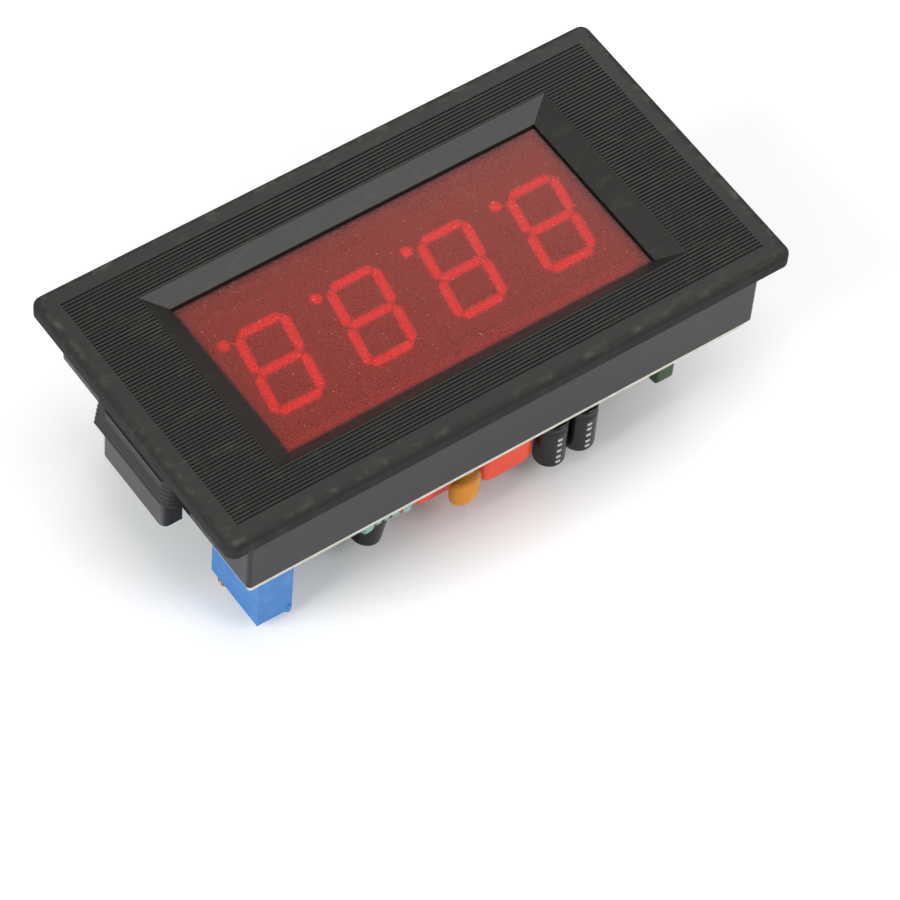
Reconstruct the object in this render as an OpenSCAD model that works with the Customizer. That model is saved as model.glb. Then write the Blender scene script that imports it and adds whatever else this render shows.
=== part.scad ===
// Digital panel meter with four red LED digits behind a tinted filter.
// Millimetres. The origin is the centre of the bezel's seating face, +Z points out of
// the front and +X runs along the long side. The top of the readout points towards -Y.

/* [Bezel] */
// Length of the bezel
bezel_w = 79; // [78:0.5:86]
// Height of the bezel
bezel_h = 42; // [41:0.5:50]
// Thickness of the bezel
bezel_t = 2.2; // [2:0.1:3.5]
// Radius of the bezel's corners
bezel_corner_r = 1.3; // [1.3:0.1:5]
// Radius of the bezel's front edge
bezel_edge_r = 0.8; // [0.3:0.1:1.2]

/* [Ribbed face] */
// Plain border between the bezel's edge and the ribs
rib_border = 2.6; // [2:0.1:4]
// Distance from one groove to the next
rib_pitch = 0.5; // [0.4:0.05:1]
// Width of one groove
groove_w = 0.22; // [0.1:0.02:0.3]
// Depth of one groove
groove_d = 0.2; // [0.1:0.05:0.3]

/* [Window] */
// Length of the clear window
window_w = 51.8; // [50:0.2:54]
// Height of the clear window
window_h = 24.4; // [22:0.2:26]
// Width of the sloping frame at the window's short ends
slope_end_w = 2.9; // [1:0.1:3.5]
// Width of the sloping frame along the window's long sides
slope_side_w = 2.1; // [1:0.1:3]
// Upright edge left below the sloping frame
window_land = 0.4; // [0.2:0.05:1]
// Thickness of the filter
filter_t = 1.5; // [1:0.1:1.6]
// How far the filter runs behind the bezel on each side
filter_lap = 2.2; // [1:0.1:2.5]
// Wall of the collar round the filter
collar_wall = 1.2; // [0.6:0.1:1.4]
// Gap between the filter and its collar
filter_clearance = 0.15; // [0.05:0.05:0.3]

/* [Case] */
// Length of the case behind the panel
case_w = 72; // [71.4:0.1:73]
// Height of the case behind the panel
case_h = 39.4; // [38:0.1:40]
// Wall of the case
case_wall = 1.5; // [1:0.1:2]
// Radius of the case's corners
case_corner_r = 0.6; // [0.3:0.1:1.4]
// Diameter of the two screw posts
post_d = 4.4; // [4:0.1:5]
// Distance of a screw post's axis from the case's short outer side
post_inset = 3.5; // [3.4:0.1:4]

/* [Retaining clips] */
// Thickness of the panel that is gripped
panel_t = 2.3; // [1:0.1:3]
// Length of a clip along the case's depth
clip_len = 9; // [8:0.5:11]
// Width of a clip's smooth rear block
clip_w = 13; // [12.4:0.2:14]
// Thickness of a clip, measured out from the case
clip_t = 2.9; // [2.6:0.1:4]
// Width of the ridged front pad
pad_w = 15; // [14.5:0.5:17]
// Length of the ridged front pad
pad_len = 4.2; // [3.6:0.2:6]
// Number of ridges on the pad
pad_ridges = 6; // [4:1:8]
// Height of one ridge
ridge_h = 0.18; // [0.05:0.01:0.3]
// How far the pad's rear edge stands past the rear block
pad_flare = 0.3; // [0.2:0.1:1]
// Radius of the rear block's outer corners
clip_corner_r = 0.9; // [0.5:0.1:2.4]
// Width of the rail's stem
stem_w = 7; // [5:0.5:7.5]
// Width of the rail's head
rail_w = 10; // [9:0.5:10.4]
// Thickness of the rail's stem
stem_t = 0.8; // [0.6:0.1:1]
// Thickness of the rail's head
rail_t = 1; // [0.8:0.1:1.1]
// Distance from one ratchet tooth to the next
tooth_pitch = 0.8; // [0.5:0.1:1.2]
// Depth of a ratchet tooth
tooth_d = 0.25; // [0.1:0.05:0.4]
// Sliding gap between clip and rail
clip_clearance = 0.15; // [0.1:0.05:0.2]

/* [Circuit board] */
// Thickness of the board
board_t = 1.6; // [1:0.1:2]
// How far the board's edge lies inside the case's outer side
board_inset = 0.6; // [0.3:0.1:1]
// Diameter of the drilled lead holes
drill_d = 0.9; // [0.8:0.05:1.1]
// Diameter of the board screws
screw_d = 2; // [1.8:0.1:2.2]
// Length of the board screws under the head
screw_len = 7; // [5:0.5:8]
// Diameter of the board screws' heads
screw_head_d = 3.8; // [3.5:0.1:4.2]
// Height of the board screws' heads
screw_head_h = 1.3; // [1:0.1:1.6]
// Radial gap round a screw in its post
screw_clearance = 0.03; // [0.02:0.01:0.08]

/* [Digits] */
// Distance from one digit to the next
digit_pitch = 12.85; // [12.7:0.05:13.2]
// Width of one digit's housing
digit_w = 12.65; // [12:0.05:12.65]
// Height of one digit's housing
digit_h = 19.1; // [18.5:0.1:20]
// Depth of one digit's housing
digit_depth = 7; // [6.4:0.1:9]
// Offset of the row of digits from the window's centre line
digit_row_y = 0.4; // [0:0.1:0.6]
// Width of a figure between its segments' centre lines
figure_w = 6.3; // [6:0.1:7]
// Height of a figure between its segments' centre lines
figure_h = 11.7; // [11:0.1:13.4]
// Offset of a figure from the middle of its housing
figure_x = 0.85; // [0.6:0.05:1.2]
// Slant of a figure
figure_slant = 10.3; // [5:0.1:11]
// Width of a segment
segment_w = 1.2; // [0.8:0.05:1.3]
// Gap at each end of a segment
segment_gap = 0.12; // [0.1:0.02:0.25]
// Depth of a segment in its housing
segment_d = 1.2; // [0.6:0.1:2]
// Diameter of the decimal point
point_d = 1.5; // [1.2:0.1:1.6]

/* [Trimmer] */
// Width of the trimmer
trimmer_w = 4.83; // [4.5:0.01:5]
// Length of the trimmer
trimmer_len = 9.53; // [9:0.01:10]
// Height of the trimmer above the board
trimmer_h = 10.2; // [9:0.01:11]
// Distance of the trimmer from the board's short edge
trimmer_end_gap = 2.1; // [1:0.1:2.4]
// Distance of the trimmer from the board's long edge
trimmer_side_gap = 1.1; // [0.6:0.1:1.4]
// Diameter of the adjusting screw
adjuster_d = 2.2; // [2:0.1:2.4]
// How far the adjusting screw stands out
adjuster_h = 1.5; // [0.8:0.1:1.5]
// Depth of the adjusting screw in the trimmer
adjuster_depth = 3; // [2:0.2:4]
// Radial gap round the adjusting screw
adjuster_clearance = 0.05; // [0.03:0.01:0.08]

/* [Capacitors] */
// Diameter of the electrolytic capacitors
can_d = 4; // [3.8:0.1:4.2]
// Length of the two upright electrolytic capacitors
can_len = 7; // [6:0.1:8]
// Height at which the upright electrolytic capacitors stand off the board
can_lift = 2; // [0.3:0.1:2.4]
// Length of the short electrolytic capacitor
short_can_len = 5.6; // [4.4:0.1:6.2]
// Height at which the short electrolytic capacitor stands off the board
short_can_lift = 3; // [2.8:0.1:3.4]
// Lean of the short electrolytic capacitor
can_lean = 13; // [0:1:15]
// Length of the two orange film capacitors
film_len = 7.4; // [6.6:0.1:7.6]
// Thickness of the orange film capacitors
film_t = 3.4; // [2.6:0.1:3.5]
// Height of the orange film capacitors
film_h = 7.4; // [6:0.1:8]
// Width of the dipped yellow capacitor
bead_w = 4.2; // [3.8:0.1:4.4]
// Thickness of the dipped yellow capacitor
bead_t = 2.6; // [2.2:0.1:2.8]
// Height of the dipped yellow capacitor
bead_h = 6.7; // [6:0.1:8]
// Thickness of the green film capacitor
green_t = 2.8; // [2.4:0.1:3]
// Length of the green film capacitor
green_len = 7.4; // [6.5:0.1:8]
// Height of the green film capacitor
green_h = 5.6; // [4.5:0.1:6.2]

/* [Small parts] */
// Diameter of component leads
lead_d = 0.5; // [0.4:0.02:0.6]
// Gap round a lead where it enters its part
lead_clearance = 0.02; // [0.01:0.01:0.04]
// Length of a resistor's body
resistor_len = 6.8; // [6:0.1:7.2]
// Diameter of a resistor's body
resistor_d = 2.3; // [2:0.1:2.5]
// Distance between a resistor's lead holes
resistor_span = 10.16; // [9.5:0.02:10.6]
// Length of the diode's body
diode_len = 5.2; // [4.8:0.1:5.6]
// Diameter of the diode's body
diode_d = 2.7; // [2.4:0.1:2.8]
// Diameter of the regulator's round side
regulator_d = 4.7; // [4.4:0.1:4.8]
// Height of the regulator's body
regulator_h = 4.6; // [4.2:0.1:5]
// Height at which the regulator stands off the board
regulator_lift = 1.6; // [1:0.1:2.5]

/* [Chips] */
// Width of the converter chip's body
converter_w = 13.8; // [13.4:0.1:14]
// Pins on one side of the converter chip
converter_side_pins = 14; // [12:1:14]
// Distance between the converter chip's pin rows
converter_rows = 15.24; // [15.2:0.02:15.6]
// Width of the driver chip's body
driver_w = 6.35; // [6:0.05:6.5]
// Pins on one side of the driver chip
driver_side_pins = 8; // [7:1:8]
// Distance between the driver chip's pin rows
driver_rows = 7.62; // [7.6:0.02:7.8]
// Height of a chip's body
chip_h = 3.6; // [3.2:0.1:4]
// Height at which a chip stands off the board
chip_lift = 0.6; // [0.5:0.1:0.8]

/* [Pin headers] */
// Distance from one header pin to the next
header_pitch = 2.54; // [2.5:0.02:2.6]
// Pins on each header
header_pins = 3; // [2:1:3]
// Depth of a header's base
header_base_w = 5.8; // [5.4:0.1:6]
// Height of a header's base
header_base_h = 3.2; // [2.8:0.1:3.6]
// Height of a header's locking wall above the board
header_wall_h = 8; // [7:0.1:9]
// Thickness of a header's locking wall
header_wall_t = 0.9; // [0.7:0.1:1.2]
// Side of a square header pin
header_pin_s = 0.64; // [0.6:0.02:0.66]
// Height of a header pin above the board
header_pin_h = 11; // [10:0.1:12]

/* [Hidden] */

$fn = 48;
cut = 0.1;          // how far a cutting shape runs past the surface it opens
thin = 0.01;        // thickness of the slices that a hull joins
lead_pitch = 2.54;  // grid of the component leads
inch_row = 15.24;   // distance between a digit's two rows of pins

// Heights along Z
filter_gap = 1.2;                             // between the filter and the digits behind it
board_front = -digit_depth - filter_t - filter_gap;
board_rear = board_front - board_t;
digit_front = board_front + digit_depth;
pin_end = board_front - 0.1;                  // rear leads are cut off just below the front copper

// Case and board
board_w = case_w - 2 * board_inset;
board_h = case_h - 2 * board_inset;
post_x = case_w / 2 - post_inset;
near_edge = -board_h / 2;
far_edge = board_h / 2;
left_edge = -board_w / 2;
right_edge = board_w / 2;

// Window, filter and collar
outer_w = window_w + 2 * slope_end_w;
outer_h = window_h + 2 * slope_side_w;
filter_w = window_w + 2 * filter_lap;
filter_h = window_h + 2 * filter_lap;
collar_w = filter_w + 2 * (filter_clearance + collar_wall);
collar_h = filter_h + 2 * (filter_clearance + collar_wall);

// Ribs
rib_w = bezel_w - 2 * rib_border;
rib_gaps = floor((bezel_h - 2 * rib_border) / rib_pitch);

// Rails and clips, measured out from the case's short side
rail_out = stem_t + rail_t;
rail_front = -panel_t - 0.2;
clip_front = -panel_t;
clip_inner = 0.25;

// Places on the board's rear, worked out from its edges
far_row_inset = 2.2;      // from the far edge to the outer row of resistors
row_gap = 2.9;            // from one row of resistors to the next
film_1_inset = 3.2;       // from the near edge to each part's near side
film_2_inset = 1.7;
bead_inset = 0.15;
green_inset = 1.6;
can_inset = 2.1;          // from the near edge to each can's axis
short_can_inset = 4.1;
can_gap = 0.3;            // between the two upright cans
resistor_inset = 1.4;     // from the near edge to the axis of the nearest resistor
input_inset = 5;          // from the far edge to the input pins
supply_end_inset = 5.4;   // from the right edge to the supply pins
supply_side_inset = 11.4; // from the near edge to the middle supply pin
trimmer_x = left_edge + trimmer_end_gap + trimmer_w / 2;
trimmer_y = near_edge + trimmer_side_gap + trimmer_len / 2;
adjuster_side = 1.35;  // distance of the adjusting screw's axis from the trimmer's outer side
adjuster_end = 1.3;    // distance of the adjusting screw's axis from the trimmer's inner end
adjuster_x = trimmer_x - trimmer_w / 2 + adjuster_side;
adjuster_y = trimmer_y + trimmer_len / 2 - adjuster_end;
film_1 = [-6, near_edge + film_1_inset + film_t / 2];
film_2 = [2.6, near_edge + film_2_inset + film_t / 2];
bead = [-4.05, near_edge + bead_inset + bead_t / 2];
can_1 = [8.9, near_edge + can_inset];
can_2 = [can_1[0] + can_d + can_gap, near_edge + can_inset];
can_3 = [-15, near_edge + short_can_inset];
green = [25.4, near_edge + green_inset + green_len / 2];
lead_half = 1.27;      // half the distance between a capacitor's leads
film_lead_half = 2.5;  // half the distance between a film capacitor's leads
lead_entry = 0.8;      // how far a lead reaches into its capacitor
film_lift = 0.3;       // height at which the film capacitors stand off the board
bead_lift = 1.2;       // height at which the yellow capacitor stands off the board
far_row = far_edge - far_row_inset;
mid_row = far_row - row_gap;
resistor_xy = [[-15.85, near_edge + resistor_inset], [-13, far_row], [-13, mid_row],
    [0, far_row], [0, mid_row], [13, far_row]];
diode_xy = [13, mid_row];
diode_span = resistor_span;
converter_xy = [-4, 2];
driver_xy = [21.4, 2.4];
regulator_xy = [28.6, 10.5];
regulator_pitch = 1.27;
header_len = header_pins * header_pitch;
input_xy = [-26.6, far_edge - input_inset];
supply_xy = [right_edge - supply_end_inset, near_edge + supply_side_inset];
wall_side = header_base_w / 2 - header_wall_t / 2;
header_drill_d = header_pin_s * sqrt(2) + 0.1;

function digit_x(i) = (i - 1.5) * digit_pitch;
function spread(count, pitch) = [for (k = [0 : count - 1]) (k - (count - 1) / 2) * pitch];

// Lead holes, each as [x, y]
digit_holes = [for (i = [0 : 3], x = spread(5, lead_pitch), side = [-1, 1])
    [digit_x(i) + x, digit_row_y + side * inch_row / 2]];
trimmer_holes = [for (y = spread(3, lead_pitch)) [trimmer_x, trimmer_y + y]];
film_holes = [for (c = [film_1, film_2], side = [-1, 1]) [c[0] + side * film_lead_half, c[1]]];
can_holes = [for (c = [can_1, can_2], side = [-1, 1]) [c[0] + side * lead_half, c[1]]];
short_can_holes = [for (side = [-1, 1]) [can_3[0] + side * lead_half, can_3[1]]];
bead_holes = [for (side = [-1, 1]) [bead[0] + side * lead_half, bead[1]]];
green_holes = [for (side = [-1, 1]) [green[0], green[1] + side * film_lead_half]];
capacitor_holes = concat(film_holes, can_holes, short_can_holes, bead_holes, green_holes);
resistor_holes = [for (c = resistor_xy, side = [-1, 1]) [c[0] + side * resistor_span / 2, c[1]]];
diode_holes = [for (side = [-1, 1]) [diode_xy[0] + side * diode_span / 2, diode_xy[1]]];
regulator_holes = [for (y = spread(3, regulator_pitch)) [regulator_xy[0], regulator_xy[1] + y]];
converter_holes = [for (x = spread(converter_side_pins, lead_pitch), side = [-1, 1])
    [converter_xy[0] + x, converter_xy[1] + side * converter_rows / 2]];
driver_holes = [for (y = spread(driver_side_pins, lead_pitch), side = [-1, 1])
    [driver_xy[0] + side * driver_rows / 2, driver_xy[1] + y]];
input_holes = [for (x = spread(header_pins, header_pitch)) [input_xy[0] + x, input_xy[1]]];
supply_holes = [for (y = spread(header_pins, header_pitch)) [supply_xy[0], supply_xy[1] + y]];
round_holes = concat(digit_holes, trimmer_holes, capacitor_holes, resistor_holes, diode_holes,
    regulator_holes, converter_holes, driver_holes);

// Rectangle with round corners, centred on the origin
module rounded_rect(w, h, r) {
    square([w - 2 * r, h], center = true);
    square([w, h - 2 * r], center = true);
    for (x = [-1, 1], y = [-1, 1])
        translate([x * (w / 2 - r), y * (h / 2 - r)]) circle(r);
}

// Straight wire between two heights at a place on the board
module wire(place, low, high, d = lead_d) {
    translate([place[0], place[1], low]) cylinder(h = high - low, d = d, $fn = 16);
}

// Bezel plate: square at the back, rolled over at the front edge
module bezel_plate() {
    straight = bezel_t - bezel_edge_r;
    linear_extrude(straight) rounded_rect(bezel_w, bezel_h, bezel_corner_r);
    hull() for (a = [0 : 15 : 90]) {
        inset = bezel_edge_r * (1 - cos(a));
        translate([0, 0, straight + bezel_edge_r * sin(a) - thin])
            linear_extrude(thin)
                rounded_rect(bezel_w - 2 * inset, bezel_h - 2 * inset, bezel_corner_r - inset, $fn = 32);
    }
}

// Parallel grooves over the whole face but the window's sloping frame
module groove_cutter() {
    translate([0, 0, bezel_t - groove_d]) linear_extrude(groove_d + cut) difference() {
        for (y = spread(rib_gaps + 1, rib_pitch))
            translate([0, y]) square([rib_w, groove_w], center = true);
        square([outer_w, outer_h], center = true);
    }
}

// Sloping frame that leads down to the clear window
module window_cutter() {
    translate([0, 0, -cut]) linear_extrude(bezel_t + cut)
        square([window_w, window_h], center = true);
    hull() {
        translate([0, 0, window_land]) linear_extrude(thin)
            square([window_w, window_h], center = true);
        translate([0, 0, bezel_t]) linear_extrude(thin)
            square([outer_w, outer_h], center = true);
    }
}

// Four walls behind the panel, down to the circuit board
module sleeve() {
    translate([0, 0, board_front]) linear_extrude(-board_front) difference() {
        rounded_rect(case_w, case_h, case_corner_r);
        square([case_w - 2 * case_wall, case_h - 2 * case_wall], center = true);
    }
}

// Low wall that holds the filter in place
module filter_collar() {
    depth = filter_t + 0.2;
    translate([0, 0, -depth]) linear_extrude(depth) difference() {
        square([collar_w, collar_h], center = true);
        square([filter_w + 2 * filter_clearance, filter_h + 2 * filter_clearance], center = true);
    }
}

// Post for a board screw, with a web to the short wall
module screw_post() {
    translate([post_x, 0, board_front]) cylinder(h = -board_front, d = post_d);
    translate([post_x, -case_wall / 2, board_front])
        cube([post_inset - case_wall / 2, case_wall, -board_front]);
}

// T-shaped rail with ratchet teeth on its head
module rail() {
    length = rail_front - board_front;
    teeth = floor(length / tooth_pitch);
    head = concat([[stem_t, 0], [rail_out - tooth_d, 0]],
        [for (k = [0 : teeth - 1]) each [[rail_out, -(k + 0.35) * tooth_pitch],
            [rail_out - tooth_d, -(k + 1) * tooth_pitch]]],
        [[rail_out - tooth_d, -length], [stem_t, -length]]);
    translate([case_w / 2 - cut, -stem_w / 2, board_front]) cube([stem_t + 2 * cut, stem_w, length]);
    translate([case_w / 2, rail_w / 2, rail_front]) rotate([90, 0, 0])
        linear_extrude(rail_w) polygon(head);
}

module bezel_case() {
    color("#41403c") difference() {
        union() {
            bezel_plate();
            sleeve();
            filter_collar();
            for (turn = [0, 180]) rotate(turn) {
                screw_post();
                rail();
            }
        }
        window_cutter();
        groove_cutter();
        for (side = [-1, 1]) translate([side * post_x, 0, board_front - cut])
            cylinder(h = screw_len - board_t + 1 + cut, d = screw_d + 2 * screw_clearance);
    }
}

module filter_window() {
    color("#8c4137") translate([0, 0, -filter_t]) linear_extrude(filter_t)
        rounded_rect(filter_w, filter_h, 0.5);
}

// One segment of a figure along X: a bar with pointed ends
module segment(length) {
    half = length / 2 - segment_gap;
    nose = segment_w / 2;
    polygon([[-half, 0], [nose - half, nose], [half - nose, nose],
        [half, 0], [half - nose, -nose], [nose - half, -nose]]);
}

// Seven slanted segments and the decimal point, seen from the front
module figure_outline() {
    lean = tan(figure_slant);
    point_side = 4.1;  // from the figure's middle to the decimal point
    point_drop = 0.3;  // from the figure's upper end to the decimal point
    translate([figure_x, 0]) multmatrix([[1, lean, 0, 0], [0, 1, 0, 0], [0, 0, 1, 0]]) {
        for (y = [-figure_h / 2, 0, figure_h / 2]) translate([0, y]) segment(figure_w);
        for (x = [-figure_w / 2, figure_w / 2], y = [-figure_h / 4, figure_h / 4])
            translate([x, y]) rotate(90) segment(figure_h / 2);
    }
    translate([figure_x - point_side, figure_h / 2 - point_drop]) circle(d = point_d);
}

module digit_segments(i) {
    color("#de3a42") translate([digit_x(i), digit_row_y, digit_front - segment_d])
        linear_extrude(segment_d) figure_outline();
}

module digit_housing(i) {
    color("#d8d5cf") difference() {
        translate([digit_x(i) - digit_w / 2, digit_row_y - digit_h / 2, board_front])
            cube([digit_w, digit_h, digit_depth]);
        translate([digit_x(i), digit_row_y, digit_front - segment_d])
            linear_extrude(segment_d + cut) figure_outline();
    }
}

module digit_pins(i) {
    color("silver") for (k = [0 : 9]) wire(digit_holes[i * 10 + k], board_rear - 0.3, board_front);
}

module main_board() {
    color("#2f6b4a") translate([0, 0, board_rear]) linear_extrude(board_t) difference() {
        rounded_rect(board_w, board_h, 0.4);
        for (place = round_holes) translate(place) circle(d = drill_d, $fn = 16);
        for (place = concat(input_holes, supply_holes)) translate(place) circle(d = header_drill_d, $fn = 16);
        for (side = [-1, 1]) translate([side * post_x, 0]) circle(d = screw_d + 0.2);
    }
}

// Pan-head self-tapping screw with a cross recess, head at the board's rear
module board_screw() {
    recess_w = 0.5;
    recess_len = screw_head_d * 0.55;
    difference() {
        union() {
            translate([0, 0, board_rear]) cylinder(h = screw_len, d = screw_d);
            translate([0, 0, board_rear - screw_head_h]) cylinder(h = screw_head_h, d = screw_head_d);
        }
        for (turn = [0, 90]) rotate(turn)
            translate([-recess_len / 2, -recess_w / 2, board_rear - screw_head_h - cut])
                cube([recess_len, recess_w, 0.7 + cut]);
    }
}

module board_screws() {
    color("#b9bcc0") for (side = [-1, 1]) translate([side * post_x, 0, 0]) board_screw();
}

module trimmer_body() {
    foot = 0.45;
    foot_len = 1.2;
    color("#4b91d2") difference() {
        union() {
            translate([trimmer_x - trimmer_w / 2, trimmer_y - trimmer_len / 2, board_rear - trimmer_h])
                cube([trimmer_w, trimmer_len, trimmer_h]);
            translate([trimmer_x + trimmer_w / 2 - foot, trimmer_y - trimmer_len / 2 + foot,
                board_rear - trimmer_h - foot / 2]) cylinder(h = foot_len, d = 2 * foot + 0.3);
        }
        translate([adjuster_x, adjuster_y, board_rear - trimmer_h - cut])
            cylinder(h = adjuster_depth + 0.1 + cut, d = adjuster_d + 2 * adjuster_clearance);
    }
}

module trimmer_screw() {
    slot_w = 0.56;
    slot_d = 0.76;
    low = board_rear - trimmer_h - adjuster_h;
    color("#c9a24a") difference() {
        translate([adjuster_x, adjuster_y, low])
            cylinder(h = adjuster_h + adjuster_depth, d = adjuster_d);
        translate([adjuster_x - adjuster_d, adjuster_y - slot_w / 2, low - cut])
            cube([2 * adjuster_d, slot_w, slot_d + cut]);
    }
}

module trimmer_pins() {
    color("silver") for (place = trimmer_holes) wire(place, board_rear, pin_end);
}

// Straight leads of all capacitors, from just inside each body to the board
module capacitor_lead_set(extra = 0) {
    d = lead_d + 2 * extra;
    for (place = can_holes) wire(place, board_rear - can_lift - lead_entry, pin_end, d);
    for (place = short_can_holes) wire(place, board_rear - short_can_lift - lead_entry, pin_end, d);
    for (place = bead_holes) wire(place, board_rear - bead_lift, pin_end, d);
    for (place = concat(film_holes, green_holes)) wire(place, board_rear - film_lift, pin_end, d);
}

module capacitor_leads() {
    color("silver") capacitor_lead_set();
}

// Block with round edges, hanging from its flat side, which holds the leads
module dipped_block(w, length, h, r) {
    hull() {
        for (x = [-1, 1], y = [-1, 1])
            translate([x * (w / 2 - r), y * (length / 2 - r), r - h]) sphere(r, $fn = 32);
        translate([0, 0, -thin]) linear_extrude(thin) rounded_rect(w, length, r, $fn = 32);
    }
}

module film_capacitor(place) {
    color("#f0552f") translate([place[0], place[1], board_rear - film_lift])
        dipped_block(film_len, film_t, film_h, 1.1);
}

// Dipped bead, wide at its outer end and drawn in to a short neck round its leads
module yellow_capacitor() {
    bulge = bead_t / 2;
    neck_w = 2 * lead_half + lead_d + 0.4;
    neck_t = lead_d + 0.7;
    neck_len = 0.3;
    color("#eaa330") translate([bead[0], bead[1], board_rear - bead_lift]) hull() {
        for (side = [-1, 1], z = [bulge - bead_h, -0.35 * bead_h])
            translate([side * (bead_w / 2 - bulge), 0, z]) sphere(bulge, $fn = 28);
        translate([0, 0, -neck_len]) linear_extrude(neck_len) rounded_rect(neck_w, neck_t, 0.4, $fn = 16);
    }
}

module green_capacitor() {
    color("#4f9a4c") translate([green[0], green[1], board_rear - film_lift])
        dipped_block(green_t, green_len, green_h, 0.45);
}

// Round can with a crimp near its leads and a rolled outer end, base at the origin, body down
module can(length) {
    crimp_z = 1.1;
    crimp_d = 0.2;
    roll = 0.5;
    r = can_d / 2;
    rotate_extrude() difference() {
        union() {
            translate([0, -length]) square([r - roll, length]);
            translate([0, roll - length]) square([r, length - 1.5 * roll]);
            translate([0, -roll]) square([r - roll / 2, roll]);
            translate([r - roll, roll - length]) circle(roll);
        }
        translate([r + crimp_d, -crimp_z]) circle(2 * crimp_d);
        translate([-r, -length - cut]) square([r, length + 2 * cut]);
    }
}

module electrolytic(place, length, lift, lean = 0) {
    color("#2b2b2e") difference() {
        translate([place[0], place[1], board_rear - lift]) rotate([0, lean, 0]) can(length);
        capacitor_lead_set(lead_clearance);
    }
}

// Profile of an axial part, thicker at both ends
module axial_body(length, d, waist) {
    cap_len = length * 0.22;
    rotate([0, 90, 0]) rotate_extrude() {
        translate([0, -length / 2]) square([waist / 2, length]);
        for (side = [-1, 1]) translate([0, side * (length - cap_len) / 2 - cap_len / 2])
            square([d / 2, cap_len]);
    }
}

// Pair of leads that leave a body's ends and bend down into the board
module axial_leads(place, length, span, axis_z) {
    for (side = [-1, 1]) {
        run = (span - length) / 2;
        translate([place[0] + side * (length / 2 + run / 2), place[1], axis_z]) rotate([0, 90, 0])
            cylinder(h = run, d = lead_d, center = true, $fn = 16);
        translate([place[0] + side * span / 2, place[1], axis_z]) sphere(d = lead_d, $fn = 16);
        wire([place[0] + side * span / 2, place[1]], axis_z, pin_end);
    }
}

resistor_z = board_rear - resistor_d / 2 - 0.1;
diode_z = board_rear - diode_d / 2 - 0.1;

module resistor(i) {
    resistor_waist = 0.6;
    place = resistor_xy[i];
    color("#9fd0c4") translate([place[0], place[1], resistor_z])
        axial_body(resistor_len, resistor_d, resistor_d - resistor_waist);
}

module resistor_leads() {
    color("silver") for (place = resistor_xy) axial_leads(place, resistor_len, resistor_span, resistor_z);
}

module supply_diode() {
    color("#26262a") translate([diode_xy[0], diode_xy[1], diode_z])
        axial_body(diode_len, diode_d, diode_d);
}

module diode_leads() {
    color("silver") axial_leads(diode_xy, diode_len, diode_span, diode_z);
}

// Round body with a flat side towards +X
module regulator() {
    flat = regulator_d * 0.3;
    color("#26262a") translate([regulator_xy[0], regulator_xy[1], board_rear - regulator_lift - regulator_h])
        difference() {
            cylinder(h = regulator_h, d = regulator_d);
            translate([flat, -regulator_d, -cut]) cube([regulator_d, 2 * regulator_d, regulator_h + 2 * cut]);
        }
}

module regulator_leads() {
    color("silver") for (place = regulator_holes) wire(place, board_rear - regulator_lift, pin_end);
}

// Chip body along X, centred on the origin, with a half-round notch at one end
module chip_body(w, side_pins) {
    length = side_pins * lead_pitch + 0.6;
    notch_r = 1;
    translate([0, 0, board_rear - chip_lift - chip_h]) difference() {
        translate([-length / 2, -w / 2, 0]) cube([length, w, chip_h]);
        translate([-length / 2, 0, -cut]) cylinder(h = 0.6 + cut, r = notch_r);
    }
}

// Bent strip pins of a chip along X: shoulder, leg and the tip in the board
module chip_pins(w, rows, side_pins) {
    strip = 0.25;
    shoulder_w = 1.3;
    tip_w = 0.5;
    mid = board_rear - chip_lift - chip_h / 2;
    for (x = spread(side_pins, lead_pitch), side = [-1, 1]) translate([x, 0, 0]) scale([1, side, 1]) {
        translate([-shoulder_w / 2, w / 2, mid - strip / 2])
            cube([shoulder_w, (rows - w) / 2 + strip / 2, strip]);
        translate([-shoulder_w / 2, rows / 2 - strip / 2, mid - strip / 2])
            cube([shoulder_w, strip, board_rear - 0.15 - mid + strip / 2]);
        translate([-tip_w / 2, rows / 2 - strip / 2, mid])
            cube([tip_w, strip, pin_end - mid]);
    }
}

module converter_chip() {
    color("#232326") translate([converter_xy[0], converter_xy[1], 0])
        chip_body(converter_w, converter_side_pins);
}

module converter_pins() {
    color("silver") translate([converter_xy[0], converter_xy[1], 0])
        chip_pins(converter_w, converter_rows, converter_side_pins);
}

module driver_chip() {
    color("#232326") translate([driver_xy[0], driver_xy[1], 0]) rotate(90)
        chip_body(driver_w, driver_side_pins);
}

module driver_pins() {
    color("silver") translate([driver_xy[0], driver_xy[1], 0]) rotate(90)
        chip_pins(driver_w, driver_rows, driver_side_pins);
}

// Square pins of a header along X
module square_pins(extra = 0) {
    side_len = header_pin_s + 2 * extra;
    for (x = spread(header_pins, header_pitch))
        translate([x - side_len / 2, -side_len / 2, board_rear - header_pin_h])
            cube([side_len, side_len, header_pin_h + pin_end - board_rear]);
}

// Base block and slotted locking wall of a header along X
module header_housing() {
    slot_w = 1.4;
    difference() {
        union() {
            translate([-header_len / 2, -header_base_w / 2, board_rear - header_base_h])
                cube([header_len, header_base_w, header_base_h]);
            translate([-header_len / 2, wall_side - header_wall_t / 2, board_rear - header_wall_h])
                cube([header_len, header_wall_t, header_wall_h]);
        }
        square_pins(lead_clearance);
        for (side = [-1, 1]) translate([side * header_pitch / 2 - slot_w / 2,
            wall_side - header_wall_t, board_rear - header_wall_h - cut])
            cube([slot_w, 2 * header_wall_t, header_wall_h - header_base_h - 1 + cut]);
    }
}

module input_header() {
    color("#f2f0ea") translate([input_xy[0], input_xy[1], 0]) header_housing();
}

module input_header_pins() {
    color("silver") translate([input_xy[0], input_xy[1], 0]) square_pins();
}

module supply_header() {
    color("#f2f0ea") translate([supply_xy[0], supply_xy[1], 0]) rotate(-90) header_housing();
}

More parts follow.
